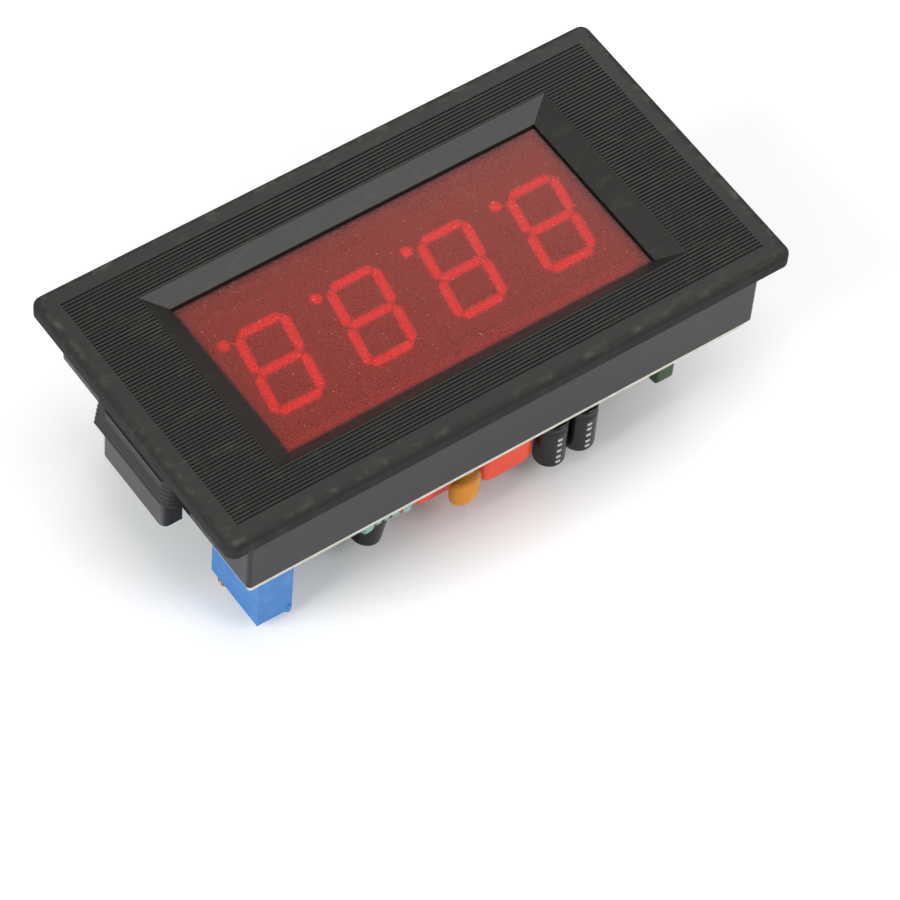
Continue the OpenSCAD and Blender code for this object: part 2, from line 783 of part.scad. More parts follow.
module supply_header_pins() {
    color("silver") translate([supply_xy[0], supply_xy[1], 0]) rotate(-90) square_pins();
}

// Rear block of a clip in plan: round at its outer corners
module clip_plan() {
    inner = case_w / 2 + clip_inner;
    outer = case_w / 2 + clip_t;
    r = clip_corner_r;
    translate([inner, -clip_w / 2]) square([outer - inner - r, clip_w]);
    translate([inner, r - clip_w / 2]) square([outer - inner, clip_w - 2 * r]);
    for (side = [-1, 1]) intersection() {
        translate([outer - r, side * (clip_w / 2 - r)]) circle(r);
        translate([inner, -clip_w / 2]) square([outer - inner, clip_w]);
    }
}

// Front pad of a clip from the side: a slope that flares to the rear, stepped into ridges
module pad_profile() {
    inner = case_w / 2 + clip_inner;
    front_x = case_w / 2 + clip_t - 0.4;
    rear_x = case_w / 2 + clip_t + pad_flare;
    step = pad_len / pad_ridges;
    ridges = [for (k = [0 : pad_ridges - 1]) each [
        [front_x + (rear_x - front_x) * k / pad_ridges, -k * step],
        [front_x + (rear_x - front_x) * (k + 1) / pad_ridges + ridge_h, -(k + 0.75) * step],
        [front_x + (rear_x - front_x) * (k + 1) / pad_ridges, -(k + 1) * step]]];
    polygon(concat([[inner, 0]], ridges, [[case_w / 2 + clip_t - 0.2, -pad_len - 0.5],
        [inner, -pad_len - 0.5]]));
}

// Clip on the +X side: ridged pad and smooth block, hooked round the rail
module clip() {
    gap = clip_clearance;
    low = clip_front - clip_len;
    difference() {
        union() {
            translate([0, 0, low]) linear_extrude(clip_len - 0.4) clip_plan();
            translate([0, pad_w / 2, clip_front]) rotate([90, 0, 0]) linear_extrude(pad_w) pad_profile();
        }
        translate([case_w / 2 - cut, -stem_w / 2 - gap, low - cut])
            cube([stem_t + gap + cut, stem_w + 2 * gap, clip_len + 2 * cut]);
        translate([case_w / 2 + stem_t - gap, -rail_w / 2 - gap, low - cut])
            cube([rail_t + 2 * gap, rail_w + 2 * gap, clip_len + 2 * cut]);
    }
}

module right_clip() {
    color("#39393b") clip();
}

module left_clip() {
    color("#39393b") rotate(180) clip();
}

bezel_case();
filter_window();
digit_housing(0);  // digit_housing_1
digit_housing(1);  // digit_housing_2
digit_housing(2);  // digit_housing_3
digit_housing(3);  // digit_housing_4
digit_segments(0);  // digit_segments_1
digit_segments(1);  // digit_segments_2
digit_segments(2);  // digit_segments_3
digit_segments(3);  // digit_segments_4
digit_pins(0);  // digit_pins_1
digit_pins(1);  // digit_pins_2
digit_pins(2);  // digit_pins_3
digit_pins(3);  // digit_pins_4
main_board();
board_screws();
trimmer_body();
trimmer_screw();
trimmer_pins();
film_capacitor(film_1);  // film_capacitor_1
film_capacitor(film_2);  // film_capacitor_2
yellow_capacitor();
green_capacitor();
electrolytic(can_1, can_len, can_lift);  // electrolytic_1
electrolytic(can_2, can_len, can_lift);  // electrolytic_2
electrolytic(can_3, short_can_len, short_can_lift, can_lean);  // electrolytic_3
capacitor_leads();
resistor(0);  // resistor_1
resistor(1);  // resistor_2
resistor(2);  // resistor_3
resistor(3);  // resistor_4
resistor(4);  // resistor_5
resistor(5);  // resistor_6
resistor_leads();
supply_diode();
diode_leads();
regulator();
regulator_leads();
converter_chip();
converter_pins();
driver_chip();
driver_pins();
input_header();
input_header_pins();
supply_header();
supply_header_pins();
left_clip();
right_clip();
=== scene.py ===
"""Digital panel meter: four red LED digits behind a tinted filter, in a black ribbed case.

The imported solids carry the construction. This script dresses them, from the case inwards
and then round to the parts on the board's rear side, and adds what is too fine for them.
"""
import math

import bmesh
import bpy
import numpy as np
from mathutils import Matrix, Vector


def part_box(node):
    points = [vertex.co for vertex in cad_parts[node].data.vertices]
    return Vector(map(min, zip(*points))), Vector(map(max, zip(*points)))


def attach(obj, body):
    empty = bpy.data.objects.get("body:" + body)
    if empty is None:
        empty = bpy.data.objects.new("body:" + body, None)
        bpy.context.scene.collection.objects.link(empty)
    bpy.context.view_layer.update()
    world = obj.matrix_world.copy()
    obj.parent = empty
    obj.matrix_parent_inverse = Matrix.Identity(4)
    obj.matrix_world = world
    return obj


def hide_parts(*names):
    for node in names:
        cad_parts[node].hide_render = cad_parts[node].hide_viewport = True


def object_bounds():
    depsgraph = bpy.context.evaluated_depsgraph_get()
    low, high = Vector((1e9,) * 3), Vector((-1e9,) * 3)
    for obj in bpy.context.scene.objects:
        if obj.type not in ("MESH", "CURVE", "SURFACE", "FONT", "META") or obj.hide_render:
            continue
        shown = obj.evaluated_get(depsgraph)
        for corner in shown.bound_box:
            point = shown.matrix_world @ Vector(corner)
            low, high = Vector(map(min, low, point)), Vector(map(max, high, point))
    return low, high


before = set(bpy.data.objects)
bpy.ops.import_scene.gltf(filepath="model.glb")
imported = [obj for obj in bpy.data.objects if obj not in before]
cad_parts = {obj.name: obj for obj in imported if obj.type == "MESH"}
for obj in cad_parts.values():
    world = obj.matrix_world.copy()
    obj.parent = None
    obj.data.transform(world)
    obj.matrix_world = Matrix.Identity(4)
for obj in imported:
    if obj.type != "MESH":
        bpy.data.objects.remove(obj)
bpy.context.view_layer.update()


# Case and bezel: one injection moulding of black ABS, with a rail for a clip on each short end.
# The bezel's face is spark-eroded matte, and the walls behind the panel are left smooth.
# Handling has rubbed its rolled edge pale here and there and left a few specks of dust. A painted highlight
# also runs along that edge, and painted shade darkens the bezel's side.

MM = 0.001


def linear(hex_code):
    """Turns an sRGB hex colour into the linear RGBA that shader sockets take."""
    srgb = np.array([int(hex_code[i:i + 2], 16) for i in (1, 3, 5)]) / 255
    rgb = np.where(srgb <= 0.04045, srgb / 12.92, ((srgb + 0.055) / 1.055) ** 2.4)
    return (*rgb.tolist(), 1.0)


def fill(made, entries):
    """Fills a node's properties and sockets: an output is linked, a hex string becomes a colour."""
    for key, value in entries.items():
        if isinstance(value, bpy.types.NodeSocket):
            made.id_data.links.new(value, made.inputs[key])
        elif hasattr(made, str(key)):
            setattr(made, key, value)
        else:
            made.inputs[key].default_value = linear(value) if isinstance(value, str) else value


def node(tree, kind, entries, out=0):
    """Adds one shader node with its settings and links, and gives one of its outputs.

    On a colour Mix, socket 0 is the factor, 6 and 7 are the colours and output 2 is the result."""
    made = tree.nodes.new("ShaderNode" + kind)
    fill(made, entries)
    return made.outputs[out]


def finish_of(name):
    """A new material: itself, its tree, its Principled node, and the object position."""
    material = bpy.data.materials.new(name)
    material.use_nodes = True
    tree = material.node_tree
    return material, tree, tree.nodes["Principled BSDF"], node(tree, "TexCoord", {}, "Object")


def mottled(tree, place, size, dark, light, detail=4.0):
    """Two close tones mixed by soft noise, whose lumps are about one size."""
    lumps = node(tree, "TexNoise", {"Vector": place, "Scale": 1 / size, "Detail": detail})
    return node(tree, "Mix", {"data_type": "RGBA", 0: lumps, 6: dark, 7: light}, 2)


def speckle(tree, place, size, share):
    """Sparse round specks: a Voronoi cell's centre shows where its random value is below the share."""
    cells = node(tree, "TexVoronoi", {"Vector": place, "Scale": 1 / size}).node.outputs
    random = node(tree, "SeparateColor", {"Color": cells["Color"]})
    chosen = node(tree, "Math", {"operation": "LESS_THAN", 0: random, 1: share})
    centre = node(tree, "MapRange", {"Value": cells["Distance"], "From Min": 0.06, "From Max": 0.12,
                                     "To Min": 1, "To Max": 0})
    return node(tree, "Math", {"operation": "MULTIPLY", 0: chosen, 1: centre})


def outside(tree, place, half_x, half_y):
    """How far a point lies outside a centred rectangle: the larger of |x| - half_x, |y| - half_y."""
    position = node(tree, "SeparateXYZ", {"Vector": place}).node.outputs
    beyond = []
    for axis, half in (("X", half_x), ("Y", half_y)):
        reach = node(tree, "Math", {"operation": "ABSOLUTE", 0: position[axis]})
        beyond.append(node(tree, "Math", {"operation": "SUBTRACT", 0: reach, 1: half}))
    return node(tree, "Math", {"operation": "MAXIMUM", 0: beyond[0], 1: beyond[1]})


def dress(material, *names):
    """Puts one material on each named solid in place of its packed one."""
    for name in names:
        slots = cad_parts[name].data.materials
        slots.clear()
        slots.append(material)


# Textured ABS: a soft warm black on the face, a glossier bluish black on the walls behind it,
# and painted shade that darkens the outermost edge and side of the bezel.
case_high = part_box("bezel_case")[1]
edge_width = 1.1 * MM
abs_plastic, tree, surface, place = finish_of("textured_black_abs")
height = node(tree, "SeparateXYZ", {"Vector": place}, "Z")
face_side = node(tree, "MapRange", {"Value": height, "From Min": -0.1 * MM, "From Max": 0.1 * MM})
rim = outside(tree, place, case_high.x - edge_width, case_high.y - edge_width)
matte = mottled(tree, place, 6 * MM, "#1D1C19", "#272622")
smooth = mottled(tree, place, 9 * MM, "#18181C", "#1F1F23")
tone = node(tree, "Mix", {"data_type": "RGBA", 0: face_side, 6: smooth, 7: matte}, 2)
# Painted shade: the bezel's rolled edge and side are darkened towards near black.
bezel_side_shade = node(tree, "MapRange", {"Value": rim, "From Min": 0.7 * MM, "From Max": 1.1 * MM,
                                    "To Max": 0.8})
bezel_side_shade = node(tree, "Math", {"operation": "MULTIPLY", 0: bezel_side_shade, 1: face_side})
tone = node(tree, "Mix", {"data_type": "RGBA", 0: bezel_side_shade, 6: tone, 7: "#0C0C0A"}, 2)

# Rubbed patches and painted highlight: a pale line where the face turns into the edge, partly wear and partly
# a painted highlight of the rolled edge, broken up by noise.
# Partly wear and partly painted highlight: a pale band on the rolled edge.
rubbed_and_highlight = node(tree, "MapRange", {"Value": rim, "From Min": -0.2 * MM, "From Max": 0.3 * MM})
fading = node(tree, "MapRange", {"Value": rim, "From Min": 0.45 * MM, "From Max": 0.8 * MM,
                                 "To Min": 1, "To Max": 0})
patches = node(tree, "TexNoise", {"Vector": place, "Scale": 1 / (2.2 * MM), "Detail": 8.0})
patches = node(tree, "MapRange", {"Value": patches, "From Min": 0.5, "From Max": 0.72, "To Max": 0.75})
for limit in (fading, face_side, patches):
    rubbed_and_highlight = node(tree, "Math", {"operation": "MULTIPLY", 0: rubbed_and_highlight, 1: limit})
tone = node(tree, "Mix", {"data_type": "RGBA", 0: rubbed_and_highlight, 6: tone, 7: "#5A574E"}, 2)

# Scuffs: faint streaks a few millimetres long, weaker on the walls.
stretched = node(tree, "Mapping", {"Vector": place,
                                   "Scale": (1 / (3.5 * MM), 1 / (1.6 * MM), 1 / (5 * MM))})
streaks = node(tree, "TexNoise", {"Vector": stretched, "Scale": 1.0, "Detail": 7.0, "Distortion": 1.2})
streaks = node(tree, "MapRange", {"Value": streaks, "From Min": 0.55, "From Max": 0.75, "To Max": 0.35})
strength = node(tree, "MapRange", {"Value": face_side, "To Min": 0.3})
scuffs = node(tree, "Math", {"operation": "MULTIPLY", 0: streaks, 1: strength})
tone = node(tree, "Mix", {"data_type": "RGBA", 0: scuffs, 6: tone, 7: "#4A483F"}, 2)

# Dust: a few pale specks on the face, inside its edge.
dust = speckle(tree, place, 2.6 * MM, 0.03)
within = node(tree, "MapRange", {"Value": rim, "From Min": -1 * MM, "From Max": 0,
                                 "To Min": 1, "To Max": 0})
for limit in (face_side, within):
    dust = node(tree, "Math", {"operation": "MULTIPLY", 0: dust, 1: limit})
tone = node(tree, "Mix", {"data_type": "RGBA", 0: dust, 6: tone, 7: "#B5B3AA"}, 2)

# The eroded grain is about 0.05 mm, and is drawn three times as coarse so that it shows.
turned = node(tree, "MapRange", {"Value": rim, "From Min": 0, "From Max": 0.5 * MM})
rolled_edge = node(tree, "Math", {"operation": "MULTIPLY", 0: turned, 1: face_side})
gloss = node(tree, "Mix", {0: face_side, 2: 0.27, 3: 0.43})
gloss = node(tree, "Mix", {0: rolled_edge, 2: gloss, 3: 0.72})
grain = node(tree, "TexNoise", {"Vector": place, "Scale": 1 / (0.16 * MM), "Detail": 3.0})
depth = node(tree, "MapRange", {"Value": face_side, "To Min": 0.05, "To Max": 0.28})
depth = node(tree, "Math", {"operation": "MULTIPLY", 0: face_side, 1: depth})
relief = node(tree, "Bump", {"Height": grain, "Strength": depth, "Distance": 0.04 * MM}, "Normal")
fill(surface, {"Base Color": tone, "Roughness": gloss, "Normal": relief, "IOR": 1.49})
dress(abs_plastic, "bezel_case")


# Filter: a sheet of red-brown acrylic, cut to size and pressed into the collar behind the
# bezel, with painted shade darkening its edge next to the collar. It tints and slightly blurs what is behind
# it.

# Tinted acrylic: clear enough for the digits to show, with a rolled anti-glare grain on its
# front and pale specks on it, partly dust and partly painted glints. The grain is finer than 0.1 mm, and is
# drawn coarser to show.
filter_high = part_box("filter_window")[1]
collar_lap, edge_shade_width = 2.2 * MM, 0.7 * MM
acrylic, tree, surface, place = finish_of("tinted_acrylic")
stretched = node(tree, "Mapping", {"Vector": place,
                                   "Scale": (1 / (0.26 * MM), 1 / (0.2 * MM), 1 / (0.3 * MM))})
rolled = node(tree, "TexNoise", {"Vector": stretched, "Scale": 1.0, "Detail": 4.0, "Roughness": 0.75})
bright = node(tree, "MapRange", {"Value": rolled, "From Min": 0.4, "From Max": 0.6})
red = node(tree, "Mix", {"data_type": "RGBA", 0: bright, 6: "#A01E10", 7: "#FF6450"}, 2)
# Pale specks: partly dust and partly painted glints on the grain, and they pass less light.
dust_and_glints = speckle(tree, place, 0.5 * MM, 0.22)
red = node(tree, "Mix", {"data_type": "RGBA", 0: dust_and_glints, 6: red, 7: "#FFD8CC"}, 2)
clear = node(tree, "MapRange", {"Value": rolled, "From Min": 0.4, "From Max": 0.62,
                                "To Min": 0.86, "To Max": 0.7})
milky = node(tree, "MapRange", {"Value": dust_and_glints, "To Min": 1, "To Max": 0.6})
clear = node(tree, "Math", {"operation": "MULTIPLY", 0: clear, 1: milky})
border = outside(tree, place, filter_high.x - collar_lap - edge_shade_width,
                 filter_high.y - collar_lap - edge_shade_width)
# Painted shade: the filter darkens to near black over its last 0.7 mm next to the collar.
filter_edge_shade = node(tree, "MapRange", {"Value": border, "From Min": 0, "From Max": 0.6 * MM})
red = node(tree, "Mix", {"data_type": "RGBA", 0: filter_edge_shade, 6: red, 7: "#120302"}, 2)
relief = node(tree, "Bump", {"Height": rolled, "Strength": 0.4, "Distance": 0.03 * MM}, "Normal")
fill(surface, {"Base Color": red, "Transmission Weight": clear, "Normal": relief,
               "IOR": 1.49, "Roughness": 0.24})
dress(acrylic, "filter_window")


# Digit housings: four reflector shells moulded in white ABS, soldered to the board side by
# side. Their front is printed dark grey, so that only the segments look bright.

def facing(tree, axis, low, high):
    """1 where a surface faces along an axis, either way: its normal's size there, from low to high."""
    part = node(tree, "SeparateXYZ", {"Vector": node(tree, "NewGeometry", {}, "Normal")}, axis)
    size = node(tree, "Math", {"operation": "ABSOLUTE", 0: part})
    return node(tree, "MapRange", {"Value": size, "From Min": low, "From Max": high})


# White ABS: grey and flat where printed, bare on the long sides, which glow a little red: partly light
# leaking from the segments, partly a painted glow for their lit sides.
shell, tree, surface, place = finish_of("white_abs_grey_face")
long_side = facing(tree, "Y", 0.4, 0.6)
printed = mottled(tree, place, 0.5 * MM, "#5C5450", "#6E6560")
bare = mottled(tree, place, 3 * MM, "#E4E0DA", "#F2EEE8")
fill(surface, {"Base Color": node(tree, "Mix", {"data_type": "RGBA", 0: long_side, 6: printed, 7: bare}, 2),
               "Emission Color": "#FF5048", "IOR": 1.53, "Roughness": 0.45,
               "Emission Strength": node(tree, "MapRange", {"Value": long_side, "To Max": 0.16})})
dress(shell, *[f"digit_housing_{i}" for i in range(1, 5)])


# Segments: seven bars and a decimal point of red epoxy, cast into the pockets of each housing
# over the LED chips. The cast epoxy is milky, so a bar glows evenly over its whole face.

epoxy, tree, surface, place = finish_of("milky_red_epoxy")
fill(surface, {"Base Color": mottled(tree, place, 1.2 * MM, "#FF4A52", "#FF6A70", 2.0),
               "Emission Color": "#FF406E", "Emission Strength": 0.85, "IOR": 1.5, "Roughness": 0.35})
dress(epoxy, *[f"digit_segments_{i}" for i in range(1, 5)])


# Board: glass-fibre laminate under green solder mask, screwed over the case's open rear. It is
# sawn to size, so its pale core shows along the cut edge.

# Masked laminate: a satin green, with the glass weave just visible in it. A wave repeats about
# every third of its scale, so 1.6 mm draws bundles of 0.5 mm.
board_low, board_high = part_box("main_board")
laminate, tree, surface, place = finish_of("green_masked_laminate")
mask = mottled(tree, place, 3 * MM, "#1B5738", "#28704C")
weave = node(tree, "TexWave", {"Vector": place, "Scale": 1 / (1.6 * MM), "Distortion": 1.5}, "Fac")
weave = node(tree, "Math", {"operation": "MULTIPLY", 0: weave, 1: 0.06})
mask = node(tree, "Mix", {"data_type": "RGBA", 0: weave, 6: mask, 7: "#4C9A70"}, 2)
fibres = node(tree, "TexNoise", {"Vector": place, "Scale": 1 / (0.9 * MM), "Detail": 4.0})
fibres = node(tree, "MapRange", {"Value": fibres, "From Min": 0.3, "From Max": 0.7})
core = node(tree, "Mix", {"data_type": "RGBA", 0: fibres, 6: "#DAD7C8", 7: "#F1EEE2"}, 2)
flat = facing(tree, "Z", 0.4, 0.6)
fill(surface, {"Base Color": node(tree, "Mix", {"data_type": "RGBA", 0: flat, 6: core, 7: mask}, 2),
               "IOR": 1.5, "Roughness": 0.34})
dress(laminate, "main_board")


# Tracks and print on the board's rear: etched copper under the mask stands out as lighter
# green lines, and outlines screen-printed in white show where each part sits.

def skin(name, vertices, faces, material, smooth=True):
    """Makes a mesh object of the meter from arrays, with its faces turned outwards."""
    mesh = bpy.data.meshes.new(name)
    mesh.from_pydata(np.asarray(vertices).tolist(), [], [tuple(face) for face in faces])
    work = bmesh.new()
    work.from_mesh(mesh)
    bmesh.ops.recalc_face_normals(work, faces=work.faces)
    work.to_mesh(mesh)
    work.free()
    mesh.polygons.foreach_set("use_smooth", np.full(len(mesh.polygons), smooth))
    mesh.materials.append(material)
    piece = bpy.data.objects.new(name, mesh)
    bpy.context.scene.collection.objects.link(piece)
    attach(piece, "meter")
    return piece


def ribbons(starts, ends, width, low, high):
    """Flat bars between pairs of points, each a closed box from one height to another.

    A bar's corners are its two end points, moved outwards by half the width along it and to
    both sides of it."""
    starts, ends = np.asarray(starts, float), np.asarray(ends, float)
    run = ends - starts
    run /= np.linalg.norm(run, axis=1, keepdims=True)
    side = np.stack([-run[:, 1], run[:, 0]], axis=1) * width / 2
    starts, ends = starts - run * width / 2, ends + run * width / 2
    ring = np.stack([starts - side, ends - side, ends + side, starts + side], axis=1)
    corners = np.concatenate([np.dstack([ring, np.full(ring.shape[:2], z)]) for z in (low, high)], axis=1)
    box = np.array([[3, 2, 1, 0], [4, 5, 6, 7], [0, 1, 5, 4], [1, 2, 6, 5], [2, 3, 7, 6], [3, 0, 4, 7]])
    faces = (box[None] + 8 * np.arange(len(starts))[:, None, None]).reshape(-1, 4)
    return corners.reshape(-1, 3), faces


def pin_places(name):
    """The ten pin centres of one digit: two rows of five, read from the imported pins' box."""
    low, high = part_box(name)
    radius = 0.25 * MM
    columns = np.linspace(low.x + radius, high.x - radius, 5)
    return np.array([(x, y) for y in (low.y + radius, high.y - radius) for x in columns])


# Each pin of the row near the converter chip gets a track to the chip's nearest pin, or to the
# chip's edge. The other row's tracks step aside and end near the board's edge. Three buses run
# along the board below the first row, each deeper one set further to the right.
rear = board_low.z
sunk = 0.01 * MM
digit_pin_places = np.concatenate([pin_places(f"digit_pins_{i}") for i in range(1, 5)])
chip_low, chip_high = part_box("converter_pins")
end_inset, bus_depths, step = 0.65 * MM, (2.1, 3.0, 3.9), 1.1 * MM
chip_columns = np.linspace(chip_low.x + end_inset, chip_high.x - end_inset, 14)
starts, ends = [], []
for x, y in digit_pin_places:
    if y < 0:
        target = chip_columns[np.argmin(abs(chip_columns - x))]
        aside = abs(target - x)
        knee = (target, y + aside) if aside < 1.4 * MM else (x, y + 1.2 * MM)
        stops = [(x, y - bus_depths[0] * MM), (x, y), knee, (knee[0], chip_low.y)]
    else:
        stops = [(x, y), (x, y + 3.2 * MM), (x + step, y + 3.2 * MM + step),
                 (x + step, board_high.y - 1.4 * MM)]
    starts += stops[:-1]
    ends += stops[1:]
for depth in bus_depths:
    level = digit_pin_places[0, 1] - depth * MM
    starts.append((board_low.x + (3 + 4 * depth) * MM, level))
    ends.append((board_high.x - (20 - 3 * depth) * MM, level))

# Masked copper: the mask looks lighter and glossier over the tracks.
copper, tree, surface, place = finish_of("masked_copper")
fill(surface, {"Base Color": mottled(tree, place, 2 * MM, "#2F8055", "#3C9466"),
               "IOR": 1.5, "Roughness": 0.3})
tracks = skin("copper_tracks", *ribbons(starts, ends, 0.5 * MM, rear - 0.03 * MM, rear + sunk),
              copper, smooth=False)

# Outlines: a rectangle 0.35 mm outside each part, less the sides that would leave the board.
outline_gap = 0.35 * MM
starts, ends = [], []
for name in ("trimmer_body", "film_capacitor_1", "film_capacitor_2", "yellow_capacitor",
             "green_capacitor", "supply_diode", "regulator", "driver_chip", "converter_chip",
             "input_header", "supply_header", *[f"resistor_{i}" for i in range(1, 7)]):
    low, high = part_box(name)
    left, right = low.x - outline_gap, high.x + outline_gap
    down, up = low.y - outline_gap, high.y + outline_gap
    corners = [(left, down), (right, down), (right, up), (left, up)]
    starts += corners
    ends += corners[1:] + corners[:1]
starts, ends = np.array(starts), np.array(ends)
on_board = np.all([(point > board_low.xy) & (point < board_high.xy) for point in (starts, ends)], axis=(0, 2))

# Screen print: an opaque flat white, a little thin in places.
ink, tree, surface, place = finish_of("white_screen_print")
fill(surface, {"Base Color": mottled(tree, place, 0.6 * MM, "#D8D8D0", "#F2F2EC"),
               "IOR": 1.5, "Roughness": 0.5})
skin("part_outlines", *ribbons(starts[on_board], ends[on_board], 0.18 * MM, rear - 0.05 * MM, rear + sunk),
     ink, smooth=False)


# Solder: tin that wetted each digit pin where it comes through the board, and set as a bright
# cone with a hollow flank.

def walls_of(rows, turns, first=0):
    """Four-sided faces between neighbouring rings of points, numbered ring by ring from first."""
    around = np.arange(turns)
    after = (around + 1) % turns
    bands = first + np.arange(rows - 1)[:, None] * turns
    walls = np.stack([bands + around, bands + after, bands + turns + after, bands + turns + around], axis=2)
    return walls.reshape(-1, 4).tolist()


def closed_rings(top, rings, bottom):
    """Rings of points, rows x turns x 3, joined by walls and closed on a point at either end."""
    rows, turns = rings.shape[:2]
    vertices = np.concatenate([[top], rings.reshape(-1, 3), [bottom]])
    final = 1 + (rows - 1) * turns
    caps = [(0, 1 + (a + 1) % turns, 1 + a) for a in range(turns)]
    caps += [(len(vertices) - 1, final + a, final + (a + 1) % turns) for a in range(turns)]
    return vertices, walls_of(rows, turns, first=1) + caps


def lathe(profile, turns):
    """Surface of revolution about Z: (r cos a, r sin a, h) for the profile's points (r, h) and a
    ring of angles a. The profile starts and ends on the axis."""
    profile = np.asarray(profile, float)
    angle = np.linspace(0, 2 * np.pi, turns, endpoint=False)
    radius, height = profile[1:-1, :1], profile[1:-1, 1:]
    rings = np.stack([radius * np.cos(angle), radius * np.sin(angle),
                      np.repeat(height, turns, axis=1)], axis=2)
    return closed_rings((0, 0, profile[0, 1]), rings, (0, 0, profile[-1, 1]))


def repeated(vertices, faces, places):
    """Copies one small mesh to many places and joins the copies."""
    places = np.asarray(places, float)
    count = len(vertices)
    joined = (vertices[None] + places[:, None]).reshape(-1, 3)
    return joined, [tuple(count * k + v for v in face) for k in range(len(places)) for face in faces]


def bare_metal(name, dark, light, roughness, grain_size):
    """Drawn, turned or tinned metal: two close tones, with a fine grain in its gloss."""
    material, tree, surface, place = finish_of(name)
    grain = node(tree, "TexNoise", {"Vector": place, "Scale": 1 / grain_size, "Detail": 3.0})
    gloss = node(tree, "MapRange", {"Value": grain, "To Min": roughness - 0.08, "To Max": roughness + 0.1})
    tone = node(tree, "Mix", {"data_type": "RGBA", 0: grain, 6: dark, 7: light}, 2)
    fill(surface, {"Base Color": tone, "Roughness": gloss, "Metallic": 1.0})
    return material


# Solder is a pale metal, bright where it set smooth.
tip = 0.42 * MM
flank = [(0, -tip), (0.2 * MM, -tip), (0.3 * MM, -0.8 * tip), (0.42 * MM, -0.45 * tip),
         (0.62 * MM, -0.2 * tip), (0.85 * MM, -0.05 * tip), (0.85 * MM, 0.02 * MM), (0, 0.02 * MM)]
joints = skin("solder_joints", *repeated(*lathe(flank, 12), [(x, y, rear) for x, y in digit_pin_places]),
              bare_metal("solder", "#B4B6B6", "#DADCDC", 0.28, 0.3 * MM))


# Trimmer: a sealed box moulded in blue nylon with softly rounded edges, soldered by three pins,
# and a slotted screw turned from brass at one corner.

def eased(name, material, width, body="meter"):
    """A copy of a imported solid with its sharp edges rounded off, which stands for that solid."""
    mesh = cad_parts[name].data.copy()
    work = bmesh.new()
    work.from_mesh(mesh)
    bmesh.ops.remove_doubles(work, verts=work.verts, dist=0.001 * MM)
    bmesh.ops.dissolve_limit(work, angle_limit=math.radians(1), verts=work.verts, edges=work.edges)
    work.to_mesh(mesh)
    work.free()
    mesh.materials.clear()
    mesh.materials.append(material)
    piece = bpy.data.objects.new(f"eased_{name}", mesh)
    bpy.context.scene.collection.objects.link(piece)
    bevel = piece.modifiers.new("rounded_edges", "BEVEL")
    bevel.width, bevel.segments, bevel.angle_limit = width, 2, math.radians(50)
    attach(piece, body)
    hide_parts(name)
    return piece


# Moulded nylon: a satin blue with paler smears from handling.
blue_nylon, tree, surface, place = finish_of("blue_nylon")
smears = node(tree, "TexNoise", {"Vector": place, "Scale": 1 / (1.1 * MM), "Detail": 8.0})
smears = node(tree, "MapRange", {"Value": smears, "From Min": 0.5, "From Max": 0.75, "To Max": 0.3})
blue = mottled(tree, place, 2 * MM, "#3680CC", "#4892DE")
fill(surface, {"Base Color": node(tree, "Mix", {"data_type": "RGBA", 0: smears, 6: blue, 7: "#7CB6EE"}, 2),
               "IOR": 1.53, "Roughness": 0.4})
eased("trimmer_body", blue_nylon, 0.14 * MM)

# Turned brass: warm, with fine tool marks in its gloss.
dress(bare_metal("turned_brass", "#B98E3E", "#E2BC62", 0.28, 0.3 * MM), "trimmer_screw")


# Film capacitors and tantalum bead: a wound or pressed body on two wires, dipped in thick epoxy
# that pulls into a glossy pillow and runs a little way down each lead.

def moulded(name, dark, light, roughness):
    """Moulded or dipped plastic: two close tones mixed by soft noise, and slightly uneven gloss."""
    material, tree, surface, place = finish_of(name)
    lumps = node(tree, "TexNoise", {"Vector": place, "Scale": 1 / (2 * MM), "Detail": 4.0})
    gloss = node(tree, "MapRange", {"Value": lumps, "To Min": roughness - 0.05, "To Max": roughness + 0.07})
    tone = node(tree, "Mix", {"data_type": "RGBA", 0: lumps, 6: dark, 7: light}, 2)
    fill(surface, {"Base Color": tone, "Roughness": gloss, "IOR": 1.5})
    return material


def pillow(low, high, power, turns=48, rows=24):
    """Superellipsoid that fills a box: |x/a|^n + |y/b|^n + |z/c|^n = 1.

    Each coordinate is a product of sines and cosines of the angles round and up, with every
    factor raised to 2/n and its sign kept."""
    centre, half = (np.array(low) + np.array(high)) / 2, (np.array(high) - np.array(low)) / 2
    round_angle = np.linspace(-np.pi, np.pi, turns, endpoint=False)
    up_angle = np.linspace(-np.pi / 2, np.pi / 2, rows + 1)[1:-1, None]

    def bent(value):
        return np.sign(value) * np.abs(value) ** (2 / power)

    rings = np.stack([bent(np.cos(up_angle)) * bent(np.cos(round_angle)),
                      bent(np.cos(up_angle)) * bent(np.sin(round_angle)),
                      np.repeat(bent(np.sin(up_angle)), turns, axis=1)], axis=2)
    vertices, faces = closed_rings((0, 0, -1), rings, (0, 0, 1))
    return vertices * half + centre, faces


# Dipped resin is opaque and nearly as smooth as glass, so it carries sharp reflections.
orange = moulded("orange_dipped_resin", "#FF3C14", "#FF5A30", 0.22)
green = moulded("green_dipped_resin", "#1C3C14", "#2A5220", 0.3)
for name, resin, power, slot in (("film_capacitor_1", orange, 5.5, "orange_coating"),
                                 ("film_capacitor_2", orange, 5.5, "orange_coating"),
                                 ("green_capacitor", green, 9.0, "green_coating")):
    piece = skin(f"dipped_{name}", *pillow(*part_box(name), power), resin)
    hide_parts(name)


